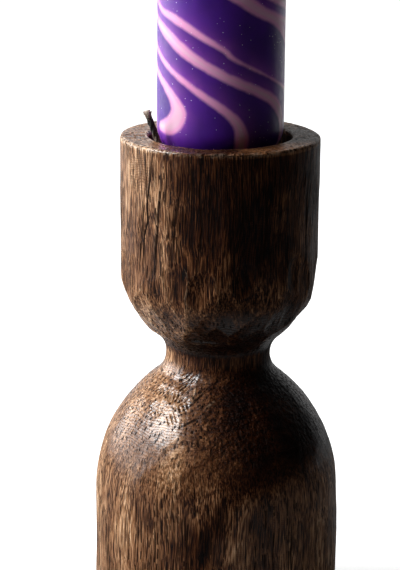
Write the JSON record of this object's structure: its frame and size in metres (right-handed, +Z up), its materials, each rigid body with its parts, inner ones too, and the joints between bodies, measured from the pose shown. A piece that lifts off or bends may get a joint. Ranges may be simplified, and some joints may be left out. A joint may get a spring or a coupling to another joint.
{
  "type": "pricket candle stand",
  "caption": "Carved dark wooden stand with a cup, hollow neck and domed foot; an iron pricket in the cup's socket holds a marbled wax pillar candle that lifts off.",
  "frame": {"origin": "middle of the felt foot, on the table", "axes": "+Z up along the stand's turning axis; the picture looks along +Y, with +X to the right"},
  "size_m": [0.099, 0.099, 0.3012],
  "materials": {
    "stained_wood": "dark stained, waxed, carved facets",
    "dowel_wood": "raw, fluted",
    "black_iron": "blackened, hammered",
    "marbled_wax": "soft satin, purple with pink bands",
    "wick_cotton": "braided, waxed",
    "burnt_cotton": "charred, frayed",
    "felt": "pressed wool"
  },
  "bodies": {
    "stand": {"stand_body": "stained_wood", "candle_cup": "stained_wood", "neck_dowel": "dowel_wood", "drip_plate": "black_iron", "pricket": "black_iron", "spent_wick": "burnt_cotton", "felt_pad": "felt"},
    "candle": {"candle": "marbled_wax", "candle_wick": "wick_cotton"}
  },
  "joints": [
    {"name": "candle_lift", "type": "slide", "parent": "stand", "child": "candle", "axis": [0, 0, 1], "range_m": [0, 0.04]}
  ]
}
